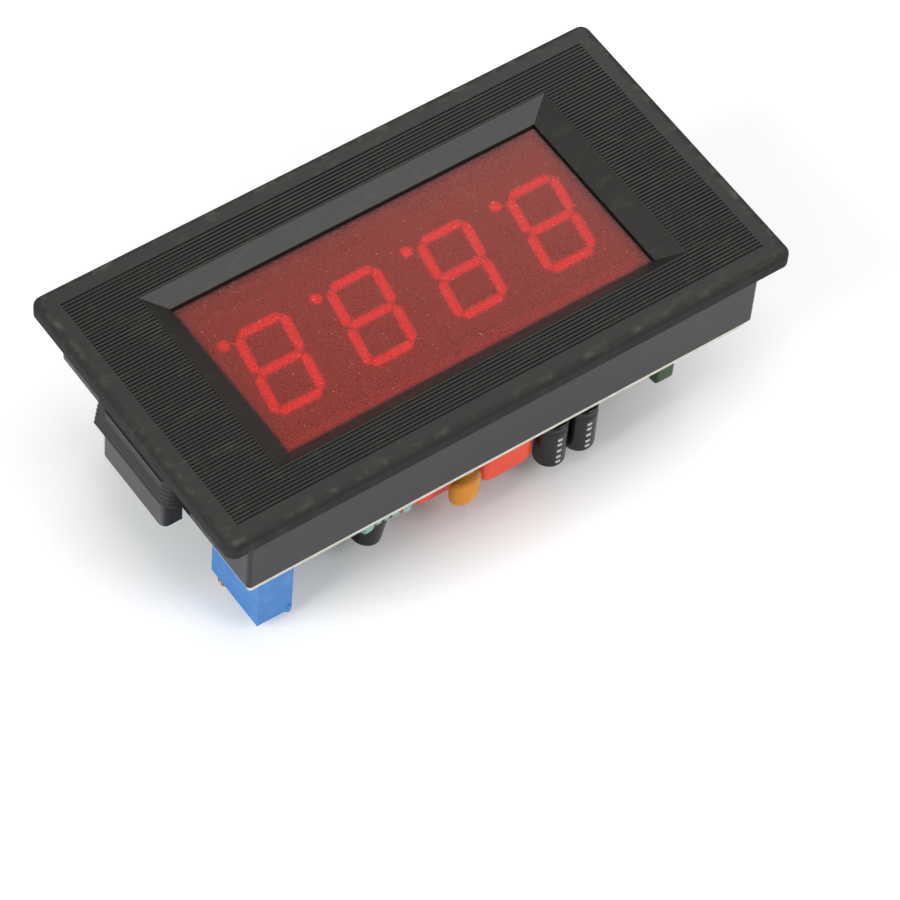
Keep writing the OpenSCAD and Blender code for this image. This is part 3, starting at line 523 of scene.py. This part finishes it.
def bead(low, high, turns=48, rows=28):
    """A dipped bead that hangs in a box: ellipses that widen downwards from a flat neck on a
    quarter circle, stay full, and close on a superellipse. A wave of three runs round the neck."""
    angle = np.linspace(0, 2 * np.pi, turns, endpoint=False)
    drop = np.linspace(0, 1, rows)[:, None]
    widening = np.clip((drop - 0.12) / 0.28, 0, 1)
    closing = np.clip(drop - 0.64, 0, 1) / 0.361
    swell = np.where(drop < 0.45, 0.4 + 0.6 * np.sqrt(1 - (1 - widening) ** 2),
                     np.sqrt(np.clip(1 - closing ** 2.4, 0.001, 1)))
    swell = swell * (1 + 0.035 * np.cos(3 * angle + 0.6) * np.exp(-((drop - 0.26) / 0.12) ** 2))
    rings = np.stack([(low.x + high.x) / 2 + (high.x - low.x) / 2 * swell * np.cos(angle),
                      (low.y + high.y) / 2 + (high.y - low.y) / 2 * swell * np.sin(angle),
                      np.repeat(high.z + (low.z - high.z) * drop, turns, axis=1)], axis=2)
    ends = [range(turns), range((rows - 1) * turns, rows * turns)]
    return rings.reshape(-1, 3), walls_of(rows, turns) + [tuple(end) for end in ends]


# The bead's yellow resin is glassy. Painted shade darkens it to amber at its neck, just under the board.
low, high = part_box("yellow_capacitor")
amber, tree, surface, place = finish_of("yellow_dipped_resin")
height = node(tree, "SeparateXYZ", {"Vector": place}, "Z")
# Painted shade: deep amber over the top of the bead, fading out 2.2 mm below it.
neck_shade = node(tree, "MapRange", {"Value": height, "From Min": high.z - 2.2 * MM,
                                "From Max": high.z - 1.3 * MM})
yellow = mottled(tree, place, 2 * MM, "#DE8802", "#F0A00C")
fill(surface, {"Base Color": node(tree, "Mix", {"data_type": "RGBA", 0: neck_shade, 6: yellow, 7: "#A8680A"}, 2),
               "IOR": 1.44, "Roughness": 0.14})
piece = skin("dipped_yellow_capacitor", *bead(low, high), amber)
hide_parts("yellow_capacitor")


# Electrolytic capacitors: drawn aluminium cans in black shrink sleeves, crimped on a rubber bung
# near the leads. The sleeve curls in over the free end and carries a row of white minus bars.

def can_profile(length, radius):
    """Radius against height, from the rubber bung down to the curled free end.

    The wall narrows at the crimp by a bell curve, and turns in at the end on a quarter circle."""
    crimp, crimp_depth, crimp_width = 1.1 * MM, 0.2 * MM, 0.28 * MM
    rounding, lip = 0.5 * MM, 0.18 * MM
    heights = np.linspace(0.5 * MM, length - 0.55 * MM, 30)
    wall = radius - crimp_depth * np.exp(-((heights - crimp) / crimp_width) ** 2)
    curl = np.linspace(0, np.pi / 2, 6)
    end = np.stack([radius - rounding * (1 - np.cos(curl)),
                    -(length - rounding) - rounding * np.sin(curl)], axis=1)
    bung = [(0, -0.1 * MM), (radius - 0.45 * MM, -0.1 * MM), (radius - 0.3 * MM, 0),
            (radius - 0.08 * MM, -0.12 * MM)]
    mouth = [(radius - 0.62 * MM, -length), (radius - 0.7 * MM, lip - length), (0, lip - length)]
    return np.concatenate([bung, np.stack([wall, -heights], axis=1), end, mouth])


# Shrink sleeve: glossy black film, with white bars printed where the mesh says so.
sleeve, tree, surface, place = finish_of("black_shrink_sleeve")
bars = node(tree, "Attribute", {"attribute_name": "bars"}, "Fac")
bars = node(tree, "MapRange", {"Value": bars, "From Min": 0.35, "From Max": 0.65})
black = mottled(tree, place, 2 * MM, "#0B0B0D", "#121215")
fill(surface, {"Base Color": node(tree, "Mix", {"data_type": "RGBA", 0: bars, 6: black, 7: "#C9C9C6"}, 2),
               "IOR": 1.48, "Roughness": 0.24})

# Drawn aluminium: a pale, slightly dull disc inside the sleeve's curl.
aluminium = bare_metal("drawn_aluminium", "#B9BBBE", "#D9DBDD", 0.3, 0.5 * MM)

# Each can's length and lift off the board in millimetres, and its lean in degrees. The bars of
# an upright can stand in a row that faces -Y, and the leaning can has none.
cans = [(7.9, 1.1, 0), (7.9, 1.1, 0), (5.6, 3, 13)]
row_bearing, row_half_width, bar_pitch, bar_length = -94, 11, 1.1, 0.5
for number, (length, lift, lean) in enumerate(cans, start=1):
    low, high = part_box(f"electrolytic_{number}")
    lean = math.radians(lean)
    radius = (high.y - low.y) / 2
    vertices, faces = lathe(can_profile(length * MM, radius), 96)
    turn = np.array([[math.cos(lean), 0, math.sin(lean)], [0, 1, 0],
                     [-math.sin(lean), 0, math.cos(lean)]])
    foot = np.array([high.x - radius * math.cos(lean), (low.y + high.y) / 2, rear - lift * MM])
    piece = skin(f"sleeved_can_{number}", vertices @ turn.T + foot, faces, sleeve)
    bearing = np.degrees(np.arctan2(vertices[:, 1], vertices[:, 0]))
    depth = -vertices[:, 2] / MM
    in_row = (abs(bearing - row_bearing) < row_half_width) & (depth > 2.0) & (depth < length - 0.9)
    marks = piece.data.attributes.new("bars", "FLOAT", "POINT")
    marks.data.foreach_set("value", (in_row & (depth % bar_pitch < bar_length) & (not lean)).astype(float))
    face, back, chamfer = (0.05 - length) * MM, (0.3 - length) * MM, (0.12 - length) * MM
    disc, disc_faces = lathe([(0, face), (radius - 0.8 * MM, face), (radius - 0.72 * MM, chamfer),
                              (radius - 0.72 * MM, back), (0, back)], 48)
    skin(f"can_end_{number}", disc @ turn.T + foot, disc_faces, aluminium)
    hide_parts(f"electrolytic_{number}")


# Resistors and diode: a ceramic rod with pressed end caps under teal lacquer, so its ends are
# fatter, with colour rings painted on, and a diode moulded in black epoxy with one silver ring.

def rod(profile, axis_y, axis_z, turns=40):
    """The lathe laid along X: the profile's points (radius, x) about a line parallel to X."""
    vertices, faces = lathe(profile, turns)
    return np.stack([vertices[:, 2], vertices[:, 0] + axis_y, vertices[:, 1] + axis_z], axis=1), faces


def ringed(name, dark, light, rings, roughness=0.3):
    """Lacquer with painted rings, each (centre x, half width, hex colour) in metres."""
    material, tree, surface, place = finish_of(name)
    along = node(tree, "SeparateXYZ", {"Vector": place}, "X")
    colour = mottled(tree, place, 1.5 * MM, dark, light)
    for centre, half, paint in rings:
        off = node(tree, "Math", {"operation": "SUBTRACT", 0: along, 1: centre})
        off = node(tree, "Math", {"operation": "ABSOLUTE", 0: off})
        ring = node(tree, "MapRange", {"Value": off, "From Min": half, "From Max": half + 0.06 * MM,
                                       "To Min": 1, "To Max": 0})
        colour = node(tree, "Mix", {"data_type": "RGBA", 0: ring, 6: colour, 7: paint}, 2)
    fill(surface, {"Base Color": colour, "IOR": 1.5, "Roughness": roughness})
    return material


def capped(low, high):
    """Profile of a resistor in a box: a rod 0.3 mm thinner than its caps, with a logistic step
    up to each cap and ends rounded on an ellipse."""
    middle, half, radius = (low.x + high.x) / 2, (high.x - low.x) / 2, (high.y - low.y) / 2
    step_up = 0.3 * MM
    reach = np.linspace(-1, 1, 45)
    shoulder = 1 / (1 + np.exp(-(abs(reach) - 0.6) / 0.045))
    rounded = np.sqrt(np.clip(1 - (np.clip(abs(reach) - 0.88, 0, 1) / 0.121) ** 2, 0.0, 1))
    outline = (radius - step_up + step_up * shoulder) * (0.35 + 0.65 * rounded)
    return np.concatenate([[(0, middle - half)], np.stack([outline, middle + reach * half], axis=1),
                           [(0, middle + half)]])


# Lacquer: a satin teal, with four rings of paint: value, value, multiplier and tolerance.
ring_shifts = (-1.7, -0.6, 0.5, 1.9)
paints = [("#6B3A1E", "#17171A", "#17171A", "#C8542A"), ("#D8C23A", "#6A4AA0", "#17171A", "#C83A30"),
          ("#6B3A1E", "#17171A", "#17171A", "#D8C23A"), ("#C83A30", "#C83A30", "#17171A", "#6B3A1E"),
          ("#E0702C", "#E0702C", "#17171A", "#17171A"), ("#6B3A1E", "#2E7A48", "#17171A", "#6B3A1E")]
for number, colours in enumerate(paints, start=1):
    low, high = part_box(f"resistor_{number}")
    middle = (low.x + high.x) / 2
    rings = [(middle + shift * MM, 0.2 * MM, paint) for shift, paint in zip(ring_shifts, colours)]
    lacquer = ringed(f"teal_lacquer_{number}", "#74B8A8", "#90CEBC", rings)
    piece = skin(f"resistor_body_{number}",
                 *rod(capped(low, high), (low.y + high.y) / 2, (low.z + high.z) / 2), lacquer)
    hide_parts(f"resistor_{number}")

# The diode's moulded epoxy is a duller black, and its ring marks the cathode.
low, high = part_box("supply_diode")
edge = 0.25 * MM
radius = (high.y - low.y) / 2
profile = [(0, low.x), (radius - edge, low.x), (radius - 0.3 * edge, low.x + 0.3 * edge),
           (radius, low.x + edge), (radius, high.x - edge),
           (radius - 0.3 * edge, high.x - 0.3 * edge), (radius - edge, high.x), (0, high.x)]
cathode = (high.x - 1.0 * MM, 0.35 * MM, "#BDBFC2")
piece = skin("diode_body", *rod(profile, (low.y + high.y) / 2, (low.z + high.z) / 2),
             ringed("moulded_diode_epoxy", "#1C1C1F", "#262629", [cathode], 0.42))
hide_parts("supply_diode")


# Chips and regulator: packages of black epoxy moulded over a lead frame and soldered to the
# board. The chips' edges are a little rounded, and a shallow dimple marks each one's first pin.

# Moulded epoxy: a matte near-black, with a 0.1 mm grain of filler that dulls its gloss.
epoxy_black, tree, surface, place = finish_of("moulded_epoxy")
grain = node(tree, "TexNoise", {"Vector": place, "Scale": 1 / (0.12 * MM), "Detail": 3.0})
gloss = node(tree, "MapRange", {"Value": grain, "From Min": 0.3, "From Max": 0.7,
                                "To Min": 0.45, "To Max": 0.6})
relief = node(tree, "Bump", {"Height": grain, "Strength": 0.25, "Distance": 0.02 * MM}, "Normal")
fill(surface, {"Base Color": mottled(tree, place, 4 * MM, "#1D1D1F", "#29292B"), "Roughness": gloss,
               "Normal": relief, "IOR": 1.52})
eased("converter_chip", epoxy_black, 0.18 * MM)
eased("driver_chip", epoxy_black, 0.15 * MM)
dress(epoxy_black, "regulator")

# The dimples are left polished by the mould's pin.
dimple = [(0, -0.02 * MM), (0.5 * MM, -0.02 * MM), (0.55 * MM, 0), (0.55 * MM, 0.03 * MM), (0, 0.03 * MM)]
converter_low, converter_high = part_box("converter_chip")
driver_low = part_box("driver_chip")[0]
first_pins = [(converter_low.x + 2.6 * MM, converter_high.y - 1.6 * MM, converter_low.z),
              (driver_low.x + 1.4 * MM, driver_low.y + 1.6 * MM, driver_low.z)]
dimples = skin("first_pin_dimples", *repeated(*lathe(dimple, 32), first_pins),
               moulded("polished_epoxy", "#121214", "#1A1A1C", 0.2))


# Headers: housings moulded in white nylon with a slotted locking wall, pressed over the pins
# for the input and the supply.

# White nylon: a warm white with a satin gloss.
white_nylon = moulded("white_nylon", "#E2E0D8", "#F4F2EA", 0.36)
eased("input_header", white_nylon, 0.12 * MM)
eased("supply_header", white_nylon, 0.12 * MM)


# Leads, pins and screws: drawn copper wire and stamped bronze strip, both tinned, through the
# board, and two self-tapping screws of zinc-plated steel that hold the board to the case.

# Tinned wire is a soft silver. Zinc plating is a shade bluer and duller.
tinned = bare_metal("tinned_wire", "#B9B9B4", "#D6D6D2", 0.3, 0.2 * MM)
dress(tinned, *[f"digit_pins_{i}" for i in range(1, 5)], "trimmer_pins", "capacitor_leads",
      "resistor_leads", "diode_leads", "regulator_leads", "converter_pins", "driver_pins",
      "input_header_pins", "supply_header_pins")
dress(bare_metal("zinc_plated_steel", "#A9ABAE", "#C6C8CA", 0.33, 0.4 * MM), "board_screws")


# Retaining clips: moulded in black nylon, and slid forward on the case's rails to hold the
# panel against the bezel. Each has a ridged pad in front for the finger and a smooth rear block.

# Black nylon: polished on the block, matte grey on the pad's ridges where fingers rub them,
# and dull on the ends, where painted shade darkens them to near black.
clip_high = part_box("right_clip")[1]
pad_length, ridged_length, ridges = 4.6 * MM, 4.2 * MM, 6
pad_end = clip_high.z - pad_length
nylon, tree, surface, place = finish_of("black_nylon")
height = node(tree, "SeparateXYZ", {"Vector": place}, "Z")
pad = node(tree, "MapRange", {"Value": height, "From Min": pad_end - 0.1 * MM,
                              "From Max": pad_end + 0.1 * MM})
behind = node(tree, "Math", {"operation": "SUBTRACT", 0: height, 1: clip_high.z})
crest = node(tree, "Math", {"operation": "MULTIPLY", 0: behind, 1: -ridges / ridged_length})
crest = node(tree, "Math", {"operation": "FRACT", 0: crest})
rubbed = node(tree, "MapRange", {"Value": crest, "From Min": 0.45, "From Max": 0.75})
patches = node(tree, "TexNoise", {"Vector": place, "Scale": 1 / (1.2 * MM), "Detail": 4.0})
rubbed = node(tree, "Math", {"operation": "MULTIPLY", 0: rubbed, 1: patches})
ridged = node(tree, "Mix", {"data_type": "RGBA", 0: rubbed, 6: "#191917", 7: "#58554D"}, 2)
polished = mottled(tree, place, 5 * MM, "#141418", "#1C1C20")
tone = node(tree, "Mix", {"data_type": "RGBA", 0: pad, 6: polished, 7: ridged}, 2)
# Painted shade: the end faces, turned away from the light, are darkened to near black, and they are also
# rougher.
end_shade_and_dullness = facing(tree, "Y", 0.5, 0.9)
tone = node(tree, "Mix", {"data_type": "RGBA", 0: end_shade_and_dullness, 6: tone, 7: "#060607"}, 2)
gloss = node(tree, "MapRange", {"Value": pad, "To Min": 0.2, "To Max": 0.5})
gloss = node(tree, "Mix", {0: end_shade_and_dullness, 2: gloss, 3: 0.7})
fill(surface, {"Base Color": tone, "Roughness": gloss, "IOR": 1.58})


def rounded_clip(name, side, radius=1.6 * MM):
    """A clip with the pad's end on one side of Y rounded in plan.

    Its outer side moves in by r - sqrt(r^2 - d^2), where d is the distance past the start of
    the rounding, and points nearer the case move less. Cuts across the pad carry the curve."""
    low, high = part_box(name)
    piece = eased(name, nylon, 0.1 * MM, body=name)
    inner, outer = sorted((abs(low.x), abs(high.x)))
    work = bmesh.new()
    work.from_mesh(piece.data)
    for angle in (10, 30, 50, 68, 80):
        level = side * (high.y - radius * (1 - math.sin(math.radians(angle))))
        bmesh.ops.bisect_plane(work, geom=[*work.verts, *work.edges, *work.faces],
                               plane_co=(0, level, 0), plane_no=(0, 1, 0))
    work.to_mesh(piece.data)
    work.free()
    points = np.empty(3 * len(piece.data.vertices))
    piece.data.vertices.foreach_get("co", points)
    x, y, z = points.reshape(-1, 3).T
    past = np.clip((side * y - high.y + radius) / radius, 0, 1)
    inward = radius * (1 - np.sqrt(1 - past ** 2)) * (abs(x) - inner) / (outer - inner)
    x -= np.where(z > pad_end - 1 * MM, np.copysign(inward, x), 0)
    piece.data.vertices.foreach_set("co", points)
    piece.data.update()


rounded_clip("left_clip", -1)
rounded_clip("right_clip", 1)


# Studio: a pale table that the meter lies on, four soft lamps and a pale room. Away from the
# meter the table looks a little lighter to the camera than the lamps alone make it.

half_table, hair = 3, 0.05 * MM
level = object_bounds()[0].z - hair
table_top = bpy.data.meshes.new("table_top")
table_top.from_pydata([(x * half_table, y * half_table, level)
                       for x, y in ((-1, -1), (1, -1), (1, 1), (-1, 1))], [], [(0, 1, 2, 3)])
table = bpy.data.objects.new("table_top", table_top)
bpy.context.scene.collection.objects.link(table)

# White paper: quite matte, so it shows no lamp. It lightens outwards on an oval, 1.6 times as
# long as it is wide, so that the shadow close to the meter stays.
paper, tree, surface, place = finish_of("white_paper")
fill(surface, {"Base Color": "#F3F3F4", "Roughness": 0.9})
rays = node(tree, "LightPath", {}).node.outputs
seen = node(tree, "Math", {"operation": "MAXIMUM", 0: rays["Is Camera Ray"], 1: rays["Is Transmission Ray"]})
oval = node(tree, "Mapping", {"Vector": place, "Scale": (1 / 1.6, 1, 0)})
away = node(tree, "VectorMath", {"operation": "LENGTH", 0: oval}, "Value")
away = node(tree, "MapRange", {"Value": away, "From Min": 15 * MM, "From Max": 27 * MM,
                               "To Min": 0.02, "To Max": 0.25})
glow = node(tree, "Math", {"operation": "MULTIPLY", 0: seen, 1: away})
lift = node(tree, "Emission", {"Color": "#FFFFFF", "Strength": glow})
fill(tree.nodes["Material Output"], {"Surface": node(tree, "AddShader", {0: surface.outputs[0], 1: lift})})
table_top.materials.append(paper)


def lamp(name, bearing, rise, watts, distance=0.7, size=0.35):
    """A square soft lamp at a bearing and a rise in degrees, turned towards the meter."""
    light = bpy.data.lights.new(name, "AREA")
    light.size, light.energy = size, watts
    body = bpy.data.objects.new(name, light)
    bpy.context.scene.collection.objects.link(body)
    bearing, rise = math.radians(bearing), math.radians(rise)
    way = Vector((math.cos(rise) * math.cos(bearing), math.cos(rise) * math.sin(bearing), math.sin(rise)))
    body.location = way * distance
    body.rotation_euler = (-way).to_track_quat("-Z", "Y").to_euler()


lamp("near_right_box", -60, 35, 1.9)
lamp("left_box", 180, 35, 2.6)
lamp("far_right_box", 50, 35, 0.8)
lamp("top_box", 0, 90, 1.2)

world = bpy.data.worlds.new("pale_room")
bpy.context.scene.world = world
world.use_nodes = True
fill(world.node_tree.nodes["Background"], {"Color": "#FFFFFF", "Strength": 0.28})

bpy.context.scene.view_settings.view_transform = "Standard"


# Camera: a long lens above the near left corner, on a tripod that was set by hand and so
# stands with a slight roll.

lens = bpy.data.cameras.new("camera")
lens.sensor_width = 36
lens.lens = 196.66
lens.clip_start, lens.clip_end = 0.01, 20
camera = bpy.data.objects.new("camera", lens)
bpy.context.scene.collection.objects.link(camera)
camera.location = (-219.25 * MM, -275.02 * MM, 451.34 * MM)
camera.rotation_euler = [math.radians(a) for a in (35.9402, -3.2828, -35.0257)]
bpy.context.scene.camera = camera
